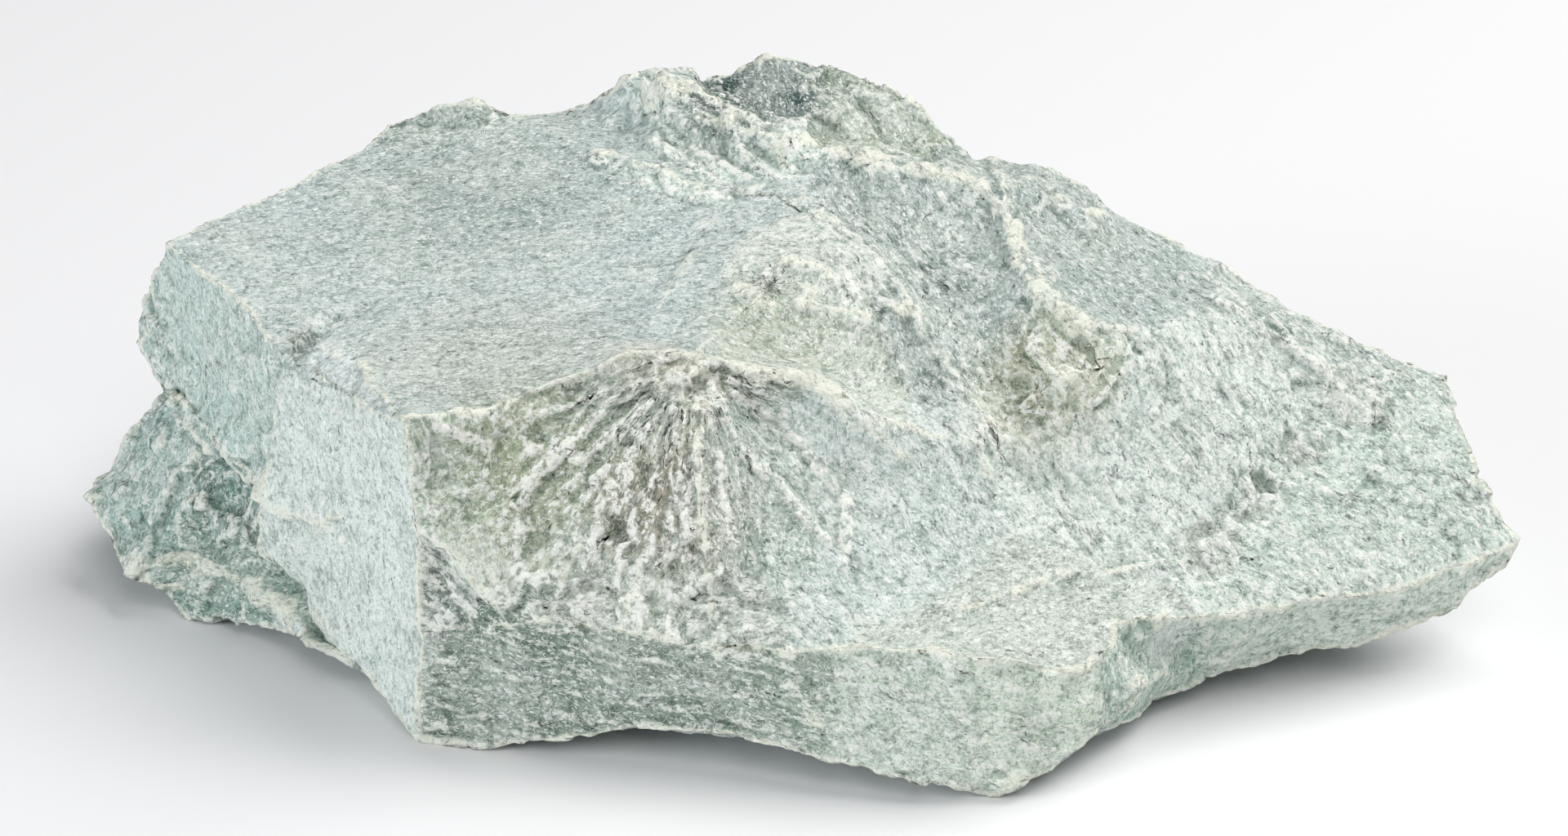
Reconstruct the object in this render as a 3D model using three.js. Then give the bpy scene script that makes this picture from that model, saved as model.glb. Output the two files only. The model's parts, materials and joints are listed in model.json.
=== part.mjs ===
// A raw hand specimen of clinoptilolite: one broken stone, modelled in millimetres.
// +X runs along its length, +Y from the front face to the back, +Z up from the flat it rests on.
// The stone is laid out as corners, the ridges between the corners, and the broken faces between the ridges.
import * as THREE from 'three';
import { ImprovedNoise } from 'three/addons/math/ImprovedNoise.js';

// Driving sizes
const STONE_LENGTH = 120; // longest side of the finished stone
const FACET_SIZE = 2; // spacing of the small facets over a broken face
const ROW_OFFSET = 0.37; // start of the first row of facets, in rows
const FACET_CLEARANCE = 0.6; // least gap from a ridge to the first facet corner, in facet sizes
const EDGE_WANDER = 0.5; // how far a chipped ridge strays from its course
const EDGE_WANDER_SIZE = 5; // length of one stray
const LUMP_SIZE = 7; // width of the lumps on a rough face
const CHIP_SIZE = 3.2; // width of the smaller chips between the lumps
const CHIP_SHARE = 0.45; // height of a chip beside a lump
const STONE_COLOUR = 0xb9c8bf;

// Corners where three or more ridges meet: across, back, up
const corners = {
  // Front left edge, from the bedding face down to the floor
  frontCorner: [-31.5, -25, 29],
  notchHigh: [-30.5, -25, 19],
  notchLow: [-30.5, -25, 10.5],
  toeLeft: [-31, -25, 0],

  // Bedding face on top, and the small step in its left edge
  fanApex: [-9, -17, 31],
  crestJoin: [-2, 7, 33.5],
  crestHigh: [-22, 23, 34.5],
  browLeft: [-36, 26.5, 33],
  browRight: [-25, 25.5, 34.5],
  bedFarLeft: [-53.5, 7.5, 30],
  stepBack: [-42.5, -9, 27.5],
  stepIn: [-38.5, -5, 28.5],
  stepFront: [-42, -11, 27.5],

  // Left wall and the low block under it
  slabLow: [-36.5, -17.5, 4],
  footLip: [-44.5, -5, 14],
  footLow: [-39.5, -11.5, 2],
  lipLeft: [-54, 9, 15.5],
  lipMid: [-50.5, 4, 16],
  blockTip: [-61, 4, 8],
  blockLow: [-57, -2.5, 4],
  blockRidgeLow: [-51.5, -1.5, 5.5],
  contactLeft: [-52, -3.5, 0],

  // Fan, front face and ledge
  fanEdgeMid: [-26.5, -26.5, 15.5],
  notchTip: [-23.5, -27.5, 12],
  hemA: [-21, -28, 12.5],
  hemB: [-14, -29.5, 12.5],
  hemC: [-7, -31, 12],
  fanHemMid: [-1.5, -32, 12],
  hemRight: [4.5, -33, 13],
  hemEnd: [10, -33.5, 13],
  footBend: [5, -34, 2.5],
  toeRight: [15, -34, 0],
  noseLow: [23.5, -30, 4],
  noseTop: [25, -26, 11.5],

  // Middle crest
  crestRib: [2, 3, 33],
  crestTurn: [8, -4.5, 30],
  crestEnd: [15.5, -13.5, 20.5],

  // Right side
  stepRight: [30, -18, 13],
  rightLow: [30.5, -22.5, 10],
  recessTop: [37, -20, 9.5],
  recessLow: [33, -18.5, 2.5],
  rightUnder: [54, -12, 5.5],
  tipLow: [57, -11, 10],
  tip: [59.5, -8, 10],
  tipHigh: [58, -8, 11.5],
  rightShoulder: [53.5, 1.5, 20.5],
  shoulderFront: [46, -2.5, 21.5],

  // Raised plate on the upper right
  cliffTop: [15, 6.5, 35],
  cliffFootEnd: [18.5, -12, 25],
  plateCorner: [22, -8.5, 29.5],
  plateRight: [34, 0.5, 28],
  plateBack: [31, 7.5, 30.5],

  // Back rim with its two peaks and its hump
  rimStart: [-12, 23.5, 38],
  rimNotch: [-8.5, 21, 38],
  rimRib: [-1, 13, 37],
  rimHump: [12.5, 8, 35.5],
  rimEnd: [26, 9, 32],
  midPeakFoot: [-13, 23, 35.5],
  midPeakTop: [-15.5, 27, 37.5],
  midPeakLow: [-21, 28.5, 33.5],
  peakGap: [-8.5, 24.5, 38],
  highPeakTop: [-3.5, 23, 41],
  highPeakEdge: [0.5, 20.5, 40],
  humpStart: [14.5, 12.5, 36],

  // Back of the stone at half height
  backEndMid: [52, 13, 11],
  backPlateMid: [35, 21, 19],
  backHumpMid: [13, 33, 13],
  backPeakMid: [-17, 36, 22],
  backBedMid: [-45, 27, 11],

  // Flat that the stone rests on
  baseEnd: [34, -8, 0],
  basePlate: [31, 12, 0],
  baseHump: [8, 26, 0],
  basePeak: [-24, 28, 0],
  baseBed: [-49, 14, 0],
};

// Ridges from corner to corner, with the bends between them
const ridges = {
  // Around the bedding face
  bedFront: ['frontCorner', [-25, -22.5, 28.5], [-19, -20.5, 30], [-14, -18.5, 31.5], 'fanApex'],
  crease: ['fanApex', [-11.5, -11.5, 30.5], [-12.5, -5, 31], [-9.5, 1, 31.5], [-7.5, 5, 33], 'crestJoin'],
  crestBed: ['crestHigh', [-20, 20.5, 34.5], [-17, 17, 34], [-12.5, 13.5, 34], [-7.5, 9.5, 33.5],
    'crestJoin'],
  browLine: ['crestHigh', [-27, 23.5, 34], [-32, 25.5, 33.5], 'browLeft'],
  browBackA: ['crestHigh', 'browRight'],
  browBackB: ['browRight', [-28.5, 26, 36], [-32, 26, 35], 'browLeft'],
  bedFar: ['browLeft', [-39.5, 22, 32], [-45, 16, 31], [-48, 13.5, 30.5], 'bedFarLeft'],
  wallTopBack: ['bedFarLeft', [-49, 1.5, 29.5], [-45.5, -3.5, 28.5], 'stepBack'],
  stepLine: ['stepBack', 'stepIn'],
  stepSide: ['stepIn', 'stepFront'],
  stepGap: ['stepBack', 'stepFront'],
  chamferTop: ['stepIn', [-35.5, -15, 29], 'frontCorner'],
  wallTopFront: ['stepFront', [-38, -15.5, 27.5], [-34.5, -21, 28], 'frontCorner'],

  // Left wall: the front slab stands a little proud of the wall behind it
  slabEdge: ['stepFront', [-43, -9, 23], [-44, -8, 16.5], [-45.5, -6.5, 10], [-45, -7, 8], [-41, -11, 7.5],
    [-39.5, -13.5, 5.5], 'slabLow'],
  wallFootUpper: ['stepBack', [-43.5, -7, 21.5], 'footLip'],
  wallFootLower: ['footLip', [-45.5, -4, 8], [-41.5, -8.5, 5.5], 'footLow'],
  footBottom: ['footLow', 'slabLow'],
  slabBottom: ['slabLow', [-35, -20, 2.5], [-32.5, -23, 1], 'toeLeft'],
  wallBackEdge: ['bedFarLeft', [-54, 9.5, 25.5], [-54.5, 9.5, 20], 'lipLeft'],
  lumpBack: ['bedFarLeft', [-55.5, 13, 23.5], [-57.5, 14, 18], [-56, 12, 16.5], 'lipLeft'],
  lipA: ['lipLeft', [-52, 6.5, 16], 'lipMid'],
  lipB: ['lipMid', [-49, 1.5, 15.5], [-48, -0.5, 14.5], [-46, -2.5, 14.5], 'footLip'],

  // Low block on the left
  blockOutlineA: ['lipLeft', [-56, 9.5, 12.5], [-57.5, 9, 11.5], [-59.5, 8, 8.5], 'blockTip'],
  blockOutlineB: ['blockTip', [-59.5, 2, 6.5], [-58, 0, 5], 'blockLow'],
  blockEdge: ['blockLow', [-54.5, -2, 5], 'blockRidgeLow'],
  blockRidge: ['lipMid', [-51, 1.5, 13], [-50.5, 1, 10], [-51, 0, 7], 'blockRidgeLow'],
  hackLow: ['blockRidgeLow', [-50, -3, 5], [-47, -5.5, 4.5], [-43, -10, 4], 'footLow'],
  underOutline: ['blockLow', [-54, -3, 3], [-53, -2.5, 1], 'contactLeft'],
  underEdge: ['contactLeft', [-49, -5.5, 1], [-43.5, -9.5, 2], [-39, -15.5, 3.5], 'slabLow'],

  // Front left edge and the notch cut into it
  cornerHigh: ['frontCorner', [-31, -25, 24], 'notchHigh'],
  cornerMid: ['notchHigh', 'notchLow'],
  cornerLow: ['notchLow', [-31, -25, 5], 'toeLeft'],
  notchLedge: ['notchLow', [-26, -25.5, 11], 'notchTip'],
  notchInner: ['notchHigh', [-28.5, -24.5, 16], [-26, -25, 13.5], 'notchTip'],
  fanEdgeHigh: ['notchHigh', [-28.5, -25.5, 18], 'fanEdgeMid'],
  fanEdgeLow: ['fanEdgeMid', 'notchTip'],

  // Fan, front face and ledge
  fanRibA: ['fanApex', [-18, -22.5, 24], 'fanEdgeMid'],
  fanRibB: ['fanApex', [-15, -23.5, 22.5], 'hemA'],
  fanRibC: ['fanApex', [-11.5, -24, 22.5], 'hemB'],
  fanRibD: ['fanApex', [-8, -25, 22], 'hemC'],
  fanHemA: ['notchTip', 'hemA'],
  fanHemB: ['hemA', 'hemB'],
  fanHemC: ['hemB', 'hemC'],
  fanHemD: ['hemC', 'fanHemMid'],
  hemMid: ['fanHemMid', 'hemRight'],
  hemFar: ['hemRight', 'hemEnd'],
  fanRidge: ['fanApex', [-5.5, -17.5, 28], [-1.5, -18, 24.5], [3, -20, 20.5], [5, -22.5, 17.5],
    [4, -26.5, 14.5], 'hemRight'],
  frontFootLeft: ['toeLeft', [-25, -26.5, 0.5], [-19, -28, 2], [-15, -29, 3], [-10, -30, 4], [-5.5, -31, 4],
    [0.5, -33, 3], 'footBend'],
  frontBend: ['fanHemMid', [1.5, -33, 7.5], 'footBend'],
  frontFootRight: ['footBend', [8, -34.5, 2], [11.5, -35, 1.5], 'toeRight'],
  toeEdge: ['toeRight', [17, -35, 1.5], [20, -33.5, 2], 'noseLow'],
  noseEdge: ['noseLow', [26, -28, 4.5], [27, -27, 6], [26.5, -26.5, 8.5], 'noseTop'],
  ledgeLip: ['hemEnd', [14.5, -34, 12.5], [18.5, -33, 11.5], [22, -31, 10], [24.5, -28.5, 10.5], 'noseTop'],
  ledgeRight: ['noseTop', 'rightLow'],
  ledgeBack: ['rightLow', 'stepRight'],
  slopeHem: ['hemRight', [8.5, -31, 12.5], [16, -26.5, 12.5], [19, -23.5, 13], [23, -19.5, 13],
    [26.5, -19, 13], 'stepRight'],
  slopeSeam: ['crestEnd', [20.5, -15.5, 17.5], [25.5, -17, 15], 'stepRight'],

  // Middle crest with the bulge and the scoop in front of it
  crestBulge: ['crestJoin', 'crestRib'],
  crestRound: ['crestRib', [4.5, 0.5, 32.5], [6.5, -2, 31.5], 'crestTurn'],
  crestFront: ['crestTurn', [11, -8, 27], [13, -10.5, 24.5], [14.5, -12.5, 22.5], 'crestEnd'],
  scoopLine: ['fanApex', [-3, -17, 29], [1, -16, 28.5], [5, -17, 26], [10.5, -16, 23.5], [14, -14, 22],
    'crestEnd'],
  bulgeLip: ['fanApex', [-6, -10.5, 31], [-3.5, -9, 31], [-1.5, -8, 31], [1.5, -8.5, 31], [5, -8, 30],
    'crestTurn'],

  // Back rim, its peaks and its hump
  ribEnd: ['crestRib', [0, 7.5, 34.5], [-1.5, 10.5, 36], 'rimRib'],
  rimA: ['rimStart', 'rimNotch'],
  rimB: ['rimNotch', [-5.5, 17, 37.5], 'rimRib'],
  rimC: ['rimRib', [4.5, 9.5, 36.5], [9.5, 8.5, 36], 'rimHump'],
  rimD: ['rimHump', 'cliffTop'],
  rimE: ['cliffTop', [18.5, 6.5, 34.5], [22, 7, 33.5], 'rimEnd'],
  midPeakFront: ['rimStart', [-13, 23, 37], 'midPeakFoot'],
  ribTop: ['crestHigh', [-19.5, 23.5, 34], [-15, 23, 34], 'midPeakFoot'],
  midPeakCrest: ['midPeakTop', 'rimStart'],
  midPeakSide: ['midPeakTop', [-16.5, 27, 36.5], [-18.5, 28, 35], 'midPeakLow'],
  midPeakBack: ['peakGap', [-9.5, 26, 38.5], [-13, 26, 38.5], 'midPeakTop'],
  saddle: ['midPeakLow', [-23, 27, 34], 'browRight'],
  gapLine: ['peakGap', 'rimNotch'],
  highPeakLeft: ['highPeakTop', [-6, 24, 39], 'peakGap'],
  highPeakCrest: ['highPeakTop', [-1.5, 22, 40.5], 'highPeakEdge'],
  highPeakSide: ['highPeakEdge', [1.5, 18, 39], [0.5, 15.5, 38], 'rimRib'],
  highPeakRim: ['highPeakEdge', [4, 20.5, 40], [8.5, 18.5, 38.5], [11.5, 14.5, 37], 'rimHump'],
  highPeakBack: ['humpStart', [12.5, 14.5, 37], [10, 17.5, 38.5], [7.5, 19, 39.5], [2.5, 21.5, 40.5],
    'highPeakTop'],
  humpLeft: ['humpStart', 'rimHump'],
  humpBack: ['rimEnd', [24, 11, 33.5], [21, 12.5, 35], [18.5, 12.5, 35], [16.5, 13, 36], 'humpStart'],

  // Raised plate and the slope to the right of it
  plateBackEdge: ['plateBack', 'rimEnd'],
  cliffEdge: ['cliffTop', [17.5, 2, 33.5], [17.5, -2.5, 32], [19, -5.5, 31], 'plateCorner'],
  cliffFoot: ['cliffTop', [16.5, 2, 32.5], [17, -3.5, 31], [18, -7.5, 29], 'cliffFootEnd'],
  cliffNose: ['cliffFootEnd', 'plateCorner'],
  valleyMouth: ['crestEnd', [17, -11, 23], 'cliffFootEnd'],
  plateFront: ['plateCorner', [27, -8, 28.5], [30, -5.5, 28.5], 'plateRight'],
  plateFoot: ['cliffFootEnd', [22, -12, 26.5], [26, -9.5, 27.5], [30, -6.5, 28], 'plateRight'],
  plateEdge: ['plateRight', [32, 3, 29], 'plateBack'],
  slopeTop: ['plateRight', [38, -0.5, 26], [42, -1.5, 24], 'shoulderFront'],
  rightFaceEdge: ['stepRight', [33.5, -14, 14.5], [37, -11.5, 16], [42.5, -7.5, 17], [45, -5, 19],
    'shoulderFront'],
  shoulderTop: ['shoulderFront', [49.5, 0, 21.5], 'rightShoulder'],
  shoulderBack: ['rightShoulder', [49, 2, 22.5], [45, 3, 24], [41.5, 4, 25.5], [36, 6.5, 28], 'plateBack'],

  // Right end with its overhang
  rightHemA: ['rightLow', 'recessTop'],
  rightHemB: ['recessTop', [44, -17.5, 9.5], [48.5, -15.5, 9], [53, -13, 9.5], 'tipLow'],
  tipFace: ['tipLow', 'tip'],
  tipTop: ['tip', 'tipHigh'],
  tipBase: ['tipLow', 'tipHigh'],
  rightEdge: ['tipHigh', [56, -6.5, 15], [55, -2, 18], 'rightShoulder'],
  recessFoot: ['noseLow', [27.5, -24, 2], [30.5, -20.5, 2], 'recessLow'],
  recessEdge: ['recessTop', [35.5, -20, 6.5], 'recessLow'],
  rightFoot: ['recessLow', [39, -16.5, 3.5], [45.5, -14.5, 3.5], [49.5, -13.5, 4.5], 'rightUnder'],
  tipUnder: ['rightUnder', [55, -11.5, 7], [58, -9.5, 8], 'tip'],
  rightRise: ['baseEnd', [44, -9, 2.5], 'rightUnder'],

  // Edge of the flat that the stone rests on
  restFront: ['toeLeft', [-20, -20, 0], [3, -22, 0], 'toeRight'],
  restRight: ['toeRight', [20, -28.5, 0], [24, -20.5, 0], [30, -14, 0], 'baseEnd'],
  restEnd: ['baseEnd', 'basePlate'],
  restPlate: ['basePlate', [22, 17, 0], 'baseHump'],
  restHump: ['baseHump', [-6, 24, 0], 'basePeak'],
  restPeak: ['basePeak', [-36, 24, 0], 'baseBed'],
  restBed: ['baseBed', 'contactLeft'],
  restLeft: ['contactLeft', [-44, -3, 0], [-39, -6.5, 0], [-35, -13.5, 0], 'toeLeft'],

  // Back: an upper row of faces, a belt at half height and a lower row
  riseEnd: ['rightShoulder', [54, 7, 16], 'backEndMid'],
  risePlate: ['plateBack', [32, 13, 27], 'backPlateMid'],
  riseHump: ['humpStart', [16, 21, 29], [12, 26, 21], 'backHumpMid'],
  risePeak: ['midPeakLow', [-20, 32, 29], 'backPeakMid'],
  riseBed: ['bedFarLeft', [-52, 15, 24], [-48, 21, 18], 'backBedMid'],
  beltEnd: ['backEndMid', [45, 16, 13], 'backPlateMid'],
  beltPlate: ['backPlateMid', [28, 27, 14], 'backHumpMid'],
  beltHump: ['backHumpMid', [4, 36, 16], [-6, 35, 20], 'backPeakMid'],
  beltPeak: ['backPeakMid', [-27, 34, 17], [-37, 30, 14], 'backBedMid'],
  blockShelf: ['backBedMid', [-57, 15, 10], 'lipLeft'],
  dropEnd: ['baseEnd', [44, 4, 3], 'backEndMid'],
  dropPlate: ['basePlate', [35, 17, 8], 'backPlateMid'],
  dropHump: ['baseHump', [12, 29, 5], 'backHumpMid'],
  dropPeak: ['basePeak', [-20, 33, 9], [-19, 34, 15], 'backPeakMid'],
  dropBed: ['baseBed', [-49, 19, 5], 'backBedMid'],
};

// Broken faces. The edge runs anticlockwise seen from outside; a minus takes a ridge from its far end.
// hollow is the depth of a dished face, and below zero the height of a crowned one.
// rough is the height of its lumps.
const faces = [
  { edge: 'bedFront crease -crestBed browLine bedFar wallTopBack stepLine chamferTop',
    hollow: 0.6, rough: 0.2 },
  { edge: '-browLine browBackA browBackB', hollow: 0, rough: 0.3 },
  { edge: 'stepSide wallTopFront -chamferTop', hollow: 0, rough: 0.15 },
  { edge: '-stepLine stepGap -stepSide', hollow: 0, rough: 0.1 },
  { edge: '-stepGap wallFootUpper wallFootLower footBottom -slabEdge', hollow: 0, rough: 0.15 },
  { edge: '-wallTopFront slabEdge slabBottom -cornerLow -cornerMid -cornerHigh', hollow: 0.3, rough: 0.2 },
  { edge: '-wallTopBack wallBackEdge lipA lipB -wallFootUpper', hollow: 0, rough: 0.2 },
  { edge: 'lumpBack -wallBackEdge', hollow: -0.6, rough: 0.6 },
  { edge: 'blockOutlineA blockOutlineB blockEdge -blockRidge -lipA', hollow: -0.5, rough: 0.7 },
  { edge: 'blockRidge hackLow -wallFootLower -lipB', hollow: 0.8, rough: 0.9 },
  { edge: 'underOutline underEdge -footBottom -hackLow -blockEdge', hollow: 0.3, rough: 0.5 },
  { edge: 'cornerMid notchLedge -notchInner', hollow: 0.3, rough: 0.2 },
  { edge: 'notchInner -fanEdgeLow -fanEdgeHigh', hollow: 0, rough: 0.1 },
  { edge: 'cornerHigh fanEdgeHigh -fanRibA -bedFront', hollow: 0.5, rough: 0.25 },
  { edge: 'fanRibA fanEdgeLow fanHemA -fanRibB', hollow: 0.5, rough: 0.25 },
  { edge: 'fanRibB fanHemB -fanRibC', hollow: 0.5, rough: 0.25 },
  { edge: 'fanRibC fanHemC -fanRibD', hollow: 0.5, rough: 0.25 },
  { edge: 'fanRibD fanHemD hemMid -fanRidge', hollow: 0.5, rough: 0.25 },
  { edge: 'cornerLow frontFootLeft -frontBend -fanHemD -fanHemC -fanHemB -fanHemA -notchLedge',
    hollow: 0.4, rough: 0.3 },
  { edge: 'frontBend frontFootRight toeEdge noseEdge -ledgeLip -hemFar -hemMid', hollow: -0.8, rough: 0.3 },
  { edge: 'hemFar ledgeLip ledgeRight ledgeBack -slopeHem', hollow: 0.3, rough: 0.4 },
  { edge: 'fanRidge slopeHem -slopeSeam -scoopLine', hollow: 0.3, rough: 0.25 },
  { edge: 'scoopLine -crestFront -bulgeLip', hollow: 1.3, rough: 0.15 },
  { edge: 'bulgeLip -crestRound -crestBulge -crease', hollow: -1.4, rough: 0.25 },
  { edge: 'crestBed crestBulge ribEnd -rimB -rimA midPeakFront -ribTop', hollow: 0.8, rough: 0.4 },
  { edge: 'crestRound crestFront valleyMouth -cliffFoot -rimD -rimC -ribEnd', hollow: 1, rough: 0.25 },
  { edge: 'cliffFoot cliffNose -cliffEdge', hollow: 0, rough: 0.2 },
  { edge: 'plateFoot -plateFront -cliffNose', hollow: 0.2, rough: 0.3 },
  { edge: 'plateFront plateEdge plateBackEdge -rimE cliffEdge', hollow: 0.2, rough: 0.25 },
  { edge: 'slopeSeam rightFaceEdge -slopeTop -plateFoot -valleyMouth', hollow: -0.3, rough: 0.25 },
  { edge: 'slopeTop shoulderTop shoulderBack -plateEdge', hollow: 0, rough: 0.35 },
  { edge: '-ledgeBack rightHemA rightHemB tipBase rightEdge -shoulderTop -rightFaceEdge',
    hollow: -0.4, rough: 0.25 },
  { edge: 'tipFace tipTop -tipBase', hollow: 0, rough: 0.1 },
  { edge: '-noseEdge recessFoot -recessEdge -rightHemA -ledgeRight', hollow: 0.6, rough: 0.3 },
  { edge: 'recessEdge rightFoot tipUnder -tipFace -rightHemB', hollow: 0.2, rough: 0.3 },
  { edge: 'gapLine rimB -highPeakSide -highPeakCrest highPeakLeft', hollow: 0.3, rough: 0.4 },
  { edge: 'highPeakSide rimC -highPeakRim', hollow: 0.4, rough: 0.8 },
  { edge: 'highPeakCrest highPeakRim -humpLeft highPeakBack', hollow: 0, rough: 0.3 },
  { edge: 'rimD rimE humpBack humpLeft', hollow: -0.4, rough: 0.4 },
  { edge: 'ribTop -midPeakFront -midPeakCrest midPeakSide saddle -browBackA', hollow: 0.2, rough: 0.3 },
  { edge: 'rimA -gapLine midPeakBack midPeakCrest', hollow: 0, rough: 0.3 },
  { edge: 'restFront -frontFootRight -frontFootLeft', hollow: 0.3, rough: 0.2 },
  { edge: '-slabBottom -underEdge restLeft', hollow: 0.2, rough: 0.2 },
  { edge: '-rightFoot -recessFoot -toeEdge restRight rightRise', hollow: 0.5, rough: 0.4 },
  { edge: '-rightEdge -tipTop -tipUnder -rightRise dropEnd -riseEnd', hollow: -1, rough: 0.7 },
  { edge: '-shoulderBack riseEnd beltEnd -risePlate', hollow: 0.6, rough: 0.7 },
  { edge: '-humpBack -plateBackEdge risePlate beltPlate -riseHump', hollow: -0.6, rough: 0.7 },
  { edge: '-midPeakSide -midPeakBack -highPeakLeft -highPeakBack riseHump beltHump -risePeak',
    hollow: 0.8, rough: 0.8 },
  { edge: '-bedFar -browBackB -saddle risePeak beltPeak -riseBed', hollow: -0.8, rough: 0.7 },
  { edge: '-beltEnd -dropEnd restEnd dropPlate', hollow: 0.5, rough: 0.6 },
  { edge: '-beltPlate -dropPlate restPlate dropHump', hollow: 0.6, rough: 0.6 },
  { edge: '-beltHump -dropHump restHump dropPeak', hollow: 0.8, rough: 0.6 },
  { edge: '-beltPeak -dropPeak restPeak dropBed', hollow: 0.4, rough: 0.6 },
  { edge: 'riseBed blockShelf -lumpBack', hollow: 0.6, rough: 0.6 },
  { edge: '-blockShelf -dropBed restBed -underOutline -blockOutlineB -blockOutlineA',
    hollow: -0.8, rough: 0.6 },
  { edge: '-restLeft -restBed -restPeak -restHump -restPlate -restEnd -restRight -restFront', rests: true },
];

// Every point of the surface is held once, so that the faces meet without gaps
const points = [];

function addPoint(place) {
  points.push(place);
  return points.length - 1;
}

const noise = new ImprovedNoise();

function wander(place) {
  const at = place.clone().divideScalar(EDGE_WANDER_SIZE);
  return new THREE.Vector3(
    noise.noise(at.x, at.y, at.z),
    noise.noise(at.x + 31, at.y, at.z),
    noise.noise(at.x, at.y + 31, at.z),
  ).multiplyScalar(EDGE_WANDER);
}

const cornerIndex = {};
for (const [name, place] of Object.entries(corners)) {
  cornerIndex[name] = addPoint(new THREE.Vector3(...place));
}

// Each ridge is stepped off at the facet size and strays a little between its corners
const ridgeSteps = {};
for (const [name, course] of Object.entries(ridges)) {
  const line = course.map((bend) => (
    typeof bend === 'string' ? points[cornerIndex[bend]] : new THREE.Vector3(...bend)
  ));
  const resting = line.every((place) => place.z === 0);
  const steps = [cornerIndex[course[0]]];
  for (let i = 1; i < line.length; i += 1) {
    const pieces = Math.max(1, Math.round(line[i - 1].distanceTo(line[i]) / FACET_SIZE));
    for (let k = 1; k <= pieces; k += 1) {
      if (i === line.length - 1 && k === pieces) {
        break;
      }
      const place = line[i - 1].clone().lerp(line[i], k / pieces);
      if (!resting) {
        place.add(wander(place));
        place.z = Math.max(place.z, 0.1);
      }
      steps.push(addPoint(place));
    }
  }
  steps.push(cornerIndex[course.at(-1)]);
  ridgeSteps[name] = steps;
}
const ridgePointCount = points.length;

function outlineOf(face) {
  const outline = [];
  for (const word of face.edge.split(' ')) {
    const backwards = word.startsWith('-');
    const steps = ridgeSteps[backwards ? word.slice(1) : word];
    const run = backwards ? [...steps].reverse() : steps;
    outline.push(...run.slice(0, -1));
  }
  return outline;
}

// The plane that a face lies nearest to: its middle, its two directions and its outward normal
function planeOf(outline) {
  const middle = new THREE.Vector3();
  const normal = new THREE.Vector3();
  for (let i = 0; i < outline.length; i += 1) {
    const here = points[outline[i]];
    const next = points[outline[(i + 1) % outline.length]];
    middle.add(here);
    normal.add(here.clone().cross(next));
  }
  middle.divideScalar(outline.length);
  normal.normalize();
  const across = new THREE.Vector3(0, 0, 1);
  if (Math.abs(normal.z) > 0.7) {
    across.set(1, 0, 0);
  }
  across.addScaledVector(normal, -across.dot(normal)).normalize();
  const along = normal.clone().cross(across);
  return { middle, normal, across, along };
}

function insideGap(flat, spot) {
  let inside = false;
  let gap = Infinity;
  const nearest = new THREE.Vector2();
  for (let i = 0; i < flat.length; i += 1) {
    const a = flat[i];
    const b = flat[(i + 1) % flat.length];
    if ((a.y > spot.y) !== (b.y > spot.y)
      && spot.x < a.x + ((spot.y - a.y) / (b.y - a.y)) * (b.x - a.x)) {
      inside = !inside;
    }
    const span = b.clone().sub(a);
    const share = THREE.MathUtils.clamp(spot.clone().sub(a).dot(span) / span.lengthSq(), 0, 1);
    nearest.copy(a).addScaledVector(span, share);
    gap = Math.min(gap, nearest.distanceTo(spot));
  }
  return inside ? gap : 0;
}

// Rows of facet corners inside a face, every second row shifted by half a step
function facetCorners(flat) {
  const box = new THREE.Box2().setFromPoints(flat);
  const rowStep = FACET_SIZE * Math.sqrt(0.75);
  const spots = [];
  let row = 0;
  for (let y = box.min.y + rowStep * ROW_OFFSET; y < box.max.y; y += rowStep) {
    const shift = (row % 2 + ROW_OFFSET) * FACET_SIZE / 2;
    for (let x = box.min.x + shift; x < box.max.x; x += FACET_SIZE) {
      const spot = new THREE.Vector2(x, y);
      if (insideGap(flat, spot) > FACET_CLEARANCE * FACET_SIZE) {
        spots.push(spot);
      }
    }
    row += 1;
  }
  return spots;
}

const TINY = 1e-6;

function turn(a, b, c) {
  return (b.x - a.x) * (c.y - a.y) - (b.y - a.y) * (c.x - a.x);
}

function angleAt(tip, a, b) {
  return a.clone().sub(tip).angleTo(b.clone().sub(tip));
}

// Splits the facet that a new corner falls in into three around that corner
function splitAround(flat, facets, index) {
  const spot = flat[index];
  const holder = facets.findIndex((facet) => facet.every((corner, k) => (
    turn(flat[corner], flat[facet[(k + 1) % 3]], spot) >= 0
  )));
  const [a, b, c] = facets[holder];
  facets[holder] = [a, b, index];
  facets.push([b, c, index], [c, a, index]);
}

// Swaps the shared side of two neighbouring facets wherever that makes both less of a sliver
function evenOut(flat, facets) {
  const mostPasses = 40;
  for (let pass = 0; pass < mostPasses; pass += 1) {
    const owner = new Map();
    facets.forEach((facet, index) => {
      facet.forEach((from, k) => owner.set(`${from} ${facet[(k + 1) % 3]}`, index));
    });
    const touched = new Set();
    for (const [side, index] of owner) {
      const [a, b] = side.split(' ').map(Number);
      const other = owner.get(`${b} ${a}`);
      if (a > b || other === undefined || touched.has(index) || touched.has(other)) {
        continue;
      }
      const c = facets[index].find((corner) => corner !== a && corner !== b);
      const d = facets[other].find((corner) => corner !== a && corner !== b);
      const opposite = angleAt(flat[c], flat[a], flat[b]) + angleAt(flat[d], flat[a], flat[b]);
      const convex = turn(flat[a], flat[d], flat[c]) > TINY && turn(flat[d], flat[b], flat[c]) > TINY;
      if (opposite > Math.PI + TINY && convex) {
        facets[index] = [a, d, c];
        facets[other] = [d, b, c];
        touched.add(index);
        touched.add(other);
      }
    }
    if (touched.size === 0) {
      break;
    }
  }
}

const triangles = [];
const facesAt = [];

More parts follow.
